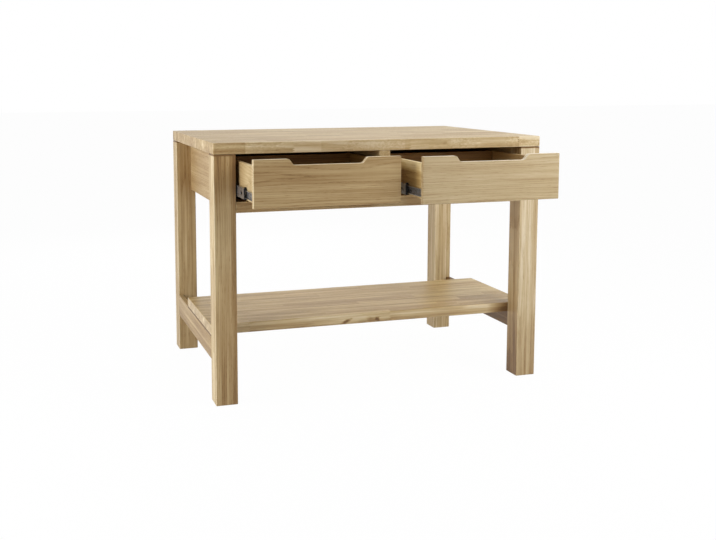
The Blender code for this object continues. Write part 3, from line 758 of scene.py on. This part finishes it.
give(ending("_drawer_back"), oak("oak_drawer_back", DRAWER_BACK_CUT))
for side, front_cut in (("left", LEFT_FRONT_CUT), ("right", RIGHT_FRONT_CUT)):
    front = side + "_drawer_front"
    give([front], oak("oak_" + front, front_cut, front_end_light_and_shade(front), painted_top_highlight))
    for hand in ("left", "right"):
        panel = f"{side}_drawer_{hand}_side"
        cut = DRAWER_SIDE_CUT._replace(stain=SIDE_BOUNCE_TINTS.get(panel, NO_TINT))
        give([panel], oak("oak_" + panel, cut, *drawer_side_marks(panel)))
birch = plain_wood("birch_plywood", "XYZ", srgb(188, 153, 106), srgb(230, 208, 168), roughness=0.48)
give(ending("_drawer_bottom", "dust_panel"), birch)
beech = plain_wood("beech_dowel", "ZXY", srgb(184, 140, 98), srgb(214, 176, 132), roughness=0.6)
give([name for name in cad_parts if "dowel" in name], beech)

# Slides

MEMBER_BRUSHING = (900, 6, 900)  # drawn along Y
MEMBER_BEND = 0.0020
CAGE_BRUSHING = (500, 500, 500)
CAGE_BEND = 0.0005

steel = zinc("zinc_plated_steel", srgb(150, 152, 157), srgb(238, 239, 242), MEMBER_BRUSHING, MEMBER_BEND)
give(ending("_member"), steel)
cage_steel = zinc("cage_steel", srgb(128, 128, 130), srgb(190, 190, 192), CAGE_BRUSHING, CAGE_BEND)
give(ending("_ball_cage"), cage_steel)
give(ending("_end_stop"), moulded_plastic("black_plastic", srgb(12, 12, 13), srgb(48, 48, 50)))

# Screws that hold the slides to the drawers

SLIDE_STEEL = 0.0012
SCREW_INSET = 0.036  # from a slide's ends to its end screws
SCREW_RINGS = ((0.0038, 0.0), (0.0038, 0.0007), (0.0036, 0.0011), (0.0032, 0.0014), (0.0026, 0.0016))
SCREW_SIDES = 24
SCREW_TWIST = math.radians(400)  # how far the recess turns from one screw to another a metre along
SCREW_BRUSHING = (300, 300, 300)
SCREW_BEND = 0.0002
RECESS_REACH = 0.0018  # half the length of the cross recess
RECESS_WIDTH = 0.0004  # half the width of its arms
RECESS_DEPTH = 0.0009
RECESS_ARMS = 4
QUARTER_TURN = math.radians(90)


def ring(shape, points):
    return [shape.verts.new(point) for point in points]


def cross_points(height):
    """The outline of the cross recess, arm by arm."""
    corners = ((RECESS_WIDTH, RECESS_WIDTH), (RECESS_REACH, RECESS_WIDTH), (RECESS_REACH, -RECESS_WIDTH))
    points = []
    for arm in range(RECESS_ARMS):
        turn = Matrix.Rotation(-QUARTER_TURN * arm, 2)
        points += [Vector((*(turn @ Vector(corner)), height)) for corner in corners]
    return points


def wall(shape, lower, upper):
    """Faces between two rings with as many corners."""
    for count in range(len(lower)):
        following = (count + 1) % len(lower)
        shape.faces.new((lower[count], lower[following], upper[following], upper[count]))


def loop_edges(shape, loop):
    return [shape.edges.get((loop[count - 1], loop[count])) for count in range(len(loop))]


def add_screw(shape, place):
    """A pan head with a cross recess, which stands up along its own Z axis."""
    before = set(shape.verts)
    angles = [math.tau * count / SCREW_SIDES for count in range(SCREW_SIDES)]
    rings = []
    for radius, height in SCREW_RINGS:
        points = [(radius * math.cos(angle), radius * math.sin(angle), height) for angle in angles]
        rings.append(ring(shape, points))
    for lower, upper in zip(rings, rings[1:]):
        wall(shape, lower, upper)
    shape.faces.new(reversed(rings[0]))
    top = SCREW_RINGS[-1][1]
    mouth = ring(shape, cross_points(top))
    floor = ring(shape, cross_points(top - RECESS_DEPTH))
    wall(shape, floor, mouth)
    shape.faces.new(reversed(floor))
    rims = loop_edges(shape, rings[-1]) + loop_edges(shape, mouth)
    bmesh.ops.triangle_fill(shape, use_beauty=True, edges=rims)
    made = [corner for corner in shape.verts if corner not in before]
    bmesh.ops.transform(shape, matrix=place, verts=made)


def make_slide_screws(drawer, hand, outward):
    """The three screws through a slide's inner member. Outward is 1 or -1, the way they face along X."""
    slide = f"{drawer}_{hand}_slide"
    low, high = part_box(slide + "_inner_member")
    web = (low.x if outward > 0 else high.x) + outward * SLIDE_STEEL
    shape = bmesh.new()
    for along in (low.y + SCREW_INSET, (low.y + high.y) / 2, high.y - SCREW_INSET):
        place = Matrix.Translation((web, along, (low.z + high.z) / 2))
        twist = Matrix.Rotation(SCREW_TWIST * along, 4, "Z")
        add_screw(shape, place @ Matrix.Rotation(QUARTER_TURN * outward, 4, "Y") @ twist)
    bmesh.ops.recalc_face_normals(shape, faces=shape.faces)
    mesh = bpy.data.meshes.new(slide + "_screws")
    shape.to_mesh(mesh)
    shape.free()
    mesh.materials.append(screw_steel)
    screws = bpy.data.objects.new(slide + "_screws", mesh)
    bpy.context.scene.collection.objects.link(screws)
    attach(screws, drawer)


screw_steel = zinc("screw_steel", srgb(120, 121, 122), srgb(218, 218, 216), SCREW_BRUSHING, SCREW_BEND)
for drawer in ("left_drawer", "right_drawer"):
    make_slide_screws(drawer, "left", -1)
    make_slide_screws(drawer, "right", 1)

# Smooth rounded edges

SMOOTH_ANGLE = math.radians(50)
WELD_DISTANCE = 0.00001


def smoothing_group():
    """Welds a solid's facets and shades them smooth, apart from edges sharper than the smooth angle."""
    group = bpy.data.node_groups.new("smooth_edges", "GeometryNodeTree")
    group.interface.new_socket("Geometry", in_out="INPUT", socket_type="NodeSocketGeometry")
    group.interface.new_socket("Geometry", in_out="OUTPUT", socket_type="NodeSocketGeometry")
    nodes = group.nodes
    start = nodes.new("NodeGroupInput")
    end = nodes.new("NodeGroupOutput")
    bare = nodes.new("GeometryNodeRemoveAttribute")
    bare.inputs["Name"].default_value = "custom_normal"
    weld = nodes.new("GeometryNodeMergeByDistance")
    weld.inputs["Distance"].default_value = WELD_DISTANCE
    faces = nodes.new("GeometryNodeSetShadeSmooth")
    edges = nodes.new("GeometryNodeSetShadeSmooth")
    edges.domain = "EDGE"
    angle = nodes.new("GeometryNodeInputMeshEdgeAngle")
    gentle = nodes.new("FunctionNodeCompare")
    gentle.operation = "LESS_THAN"
    gentle.inputs["B"].default_value = SMOOTH_ANGLE
    group.links.new(angle.outputs["Unsigned Angle"], gentle.inputs["A"])
    group.links.new(gentle.outputs["Result"], edges.inputs["Shade Smooth"])
    chain = [start, bare, weld, faces, edges, end]
    for before, after in zip(chain, chain[1:]):
        group.links.new(before.outputs[0], after.inputs[0])
    return group


smooth_edges = smoothing_group()
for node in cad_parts.values():
    node.modifiers.new("smooth_edges", "NODES").node_group = smooth_edges
    weighted = node.modifiers.new("even_normals", "WEIGHTED_NORMAL")
    weighted.keep_sharp = True

# Studio

AMBIENT_LIGHT = 0.10
FLOOR_WHITE = 0.90
FLOOR_GLOW = 0.98  # how far the floor is lifted to white where it is seen
FLOOR_SIZE = 60.0
SOFTBOX_DISTANCE = 3.2
SOFTBOX_SIZE = 2.4

object_centre = (cad_box[0] + cad_box[1]) / 2
right_leg_low, right_leg_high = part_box("front_right_leg")
right_leg_centre = (right_leg_low + right_leg_high) / 2


def seen_rays(tree):
    """1 for rays that show a surface: straight to the camera, or by reflection or through glass."""
    path = tree.nodes.new("ShaderNodeLightPath")
    result = path.outputs["Is Camera Ray"]
    for name in ("Is Glossy Ray", "Is Transmission Ray"):
        either = tree.nodes.new("ShaderNodeMath")
        either.operation = "MAXIMUM"
        tree.links.new(result, either.inputs[0])
        tree.links.new(path.outputs[name], either.inputs[1])
        result = either.outputs[0]
    return result


def make_world():
    """White where it is seen, and an even grey light on everything else."""
    world = bpy.data.worlds.new("studio")
    bpy.context.scene.world = world
    world.use_nodes = True
    tree = world.node_tree
    level = tree.nodes.new("ShaderNodeMapRange")
    level.inputs["To Min"].default_value = AMBIENT_LIGHT
    tree.links.new(seen_rays(tree), level.inputs["Value"])
    background = tree.nodes["Background"]
    background.inputs["Color"].default_value = (1, 1, 1, 1)
    tree.links.new(level.outputs["Result"], background.inputs["Strength"])


def make_floor():
    """A pale floor that keeps the object's shadow and runs out to white."""
    graph = Graph("pale_floor")
    seen = seen_rays(graph.tree)
    matt = graph.node("BsdfDiffuse", {"Color": (FLOOR_WHITE, FLOOR_WHITE, FLOOR_WHITE, 1)}).outputs["BSDF"]
    glow = graph.node("Emission", {"Color": (1, 1, 1, 1), "Strength": 1.0}).outputs["Emission"]
    blend = graph.node("MixShader", {"Fac": graph.times(seen, FLOOR_GLOW)})
    graph.feed(blend.inputs[1], matt)
    graph.feed(blend.inputs[2], glow)
    graph.node("OutputMaterial", {"Surface": blend.outputs["Shader"]})
    shape = bmesh.new()
    bmesh.ops.create_grid(shape, x_segments=1, y_segments=1, size=FLOOR_SIZE / 2)
    mesh = bpy.data.meshes.new("floor")
    shape.to_mesh(mesh)
    shape.free()
    mesh.materials.append(graph.material)
    floor = bpy.data.objects.new("floor", mesh)
    bpy.context.scene.collection.objects.link(floor)


def softbox(name, azimuth, elevation, level, target=object_centre, distance=SOFTBOX_DISTANCE,
            size=SOFTBOX_SIZE):
    """A square light that faces its target and leaves no glare. Its level is what it adds there to a white
    surface turned towards it, and its angles are in degrees, from the front and from the floor."""
    turn = math.radians(azimuth)
    rise = math.radians(elevation)
    away = Vector((math.sin(turn) * math.cos(rise), -math.cos(turn) * math.cos(rise), math.sin(rise)))
    lamp = bpy.data.lights.new(name, "AREA")
    lamp.shape = "SQUARE"
    lamp.size = size
    lamp.energy = level * math.pi ** 2 * distance ** 2
    holder = bpy.data.objects.new(name, lamp)
    holder.location = target + away * distance
    holder.rotation_mode = "QUATERNION"
    holder.rotation_quaternion = away.to_track_quat("Z", "Y")
    holder.visible_glossy = False
    bpy.context.scene.collection.objects.link(holder)


def make_camera():
    """A camera at the picture's angle, with its lens shifted so that its axis meets the centre pixel."""
    forward = Vector((
        math.sin(CAMERA_YAW) * math.cos(CAMERA_PITCH),
        math.cos(CAMERA_YAW) * math.cos(CAMERA_PITCH),
        math.sin(CAMERA_PITCH),
    ))
    level = Vector((math.cos(CAMERA_YAW), -math.sin(CAMERA_YAW), 0))
    upright = level.cross(forward)
    right = level * math.cos(CAMERA_ROLL) + upright * math.sin(CAMERA_ROLL)
    up = upright * math.cos(CAMERA_ROLL) - level * math.sin(CAMERA_ROLL)
    lens = bpy.data.cameras.new("camera")
    lens.sensor_width = SENSOR_WIDTH
    lens.lens = FOCAL_PIXELS * SENSOR_WIDTH / PICTURE_WIDTH
    lens.shift_x = (PICTURE_WIDTH / 2 - CENTRE_PIXEL[0]) / PICTURE_WIDTH
    lens.shift_y = (CENTRE_PIXEL[1] - PICTURE_HEIGHT / 2) / PICTURE_WIDTH
    camera = bpy.data.objects.new("camera", lens)
    turned = Matrix((right, up, -forward)).transposed()
    camera.matrix_world = Matrix.Translation(CAMERA_PLACE) @ turned.to_4x4()
    bpy.context.scene.collection.objects.link(camera)
    bpy.context.scene.camera = camera


make_world()
make_floor()
softbox("left_softbox", azimuth=-75, elevation=12, level=0.78)
softbox("right_softbox", azimuth=35, elevation=40, level=0.98,
        target=right_leg_centre, distance=2.1, size=1.6)
softbox("top_softbox", azimuth=0, elevation=85, level=0.22)
softbox("rear_softbox", azimuth=180, elevation=28, level=0.50)
make_camera()
bpy.context.scene.view_settings.view_transform = "Standard"
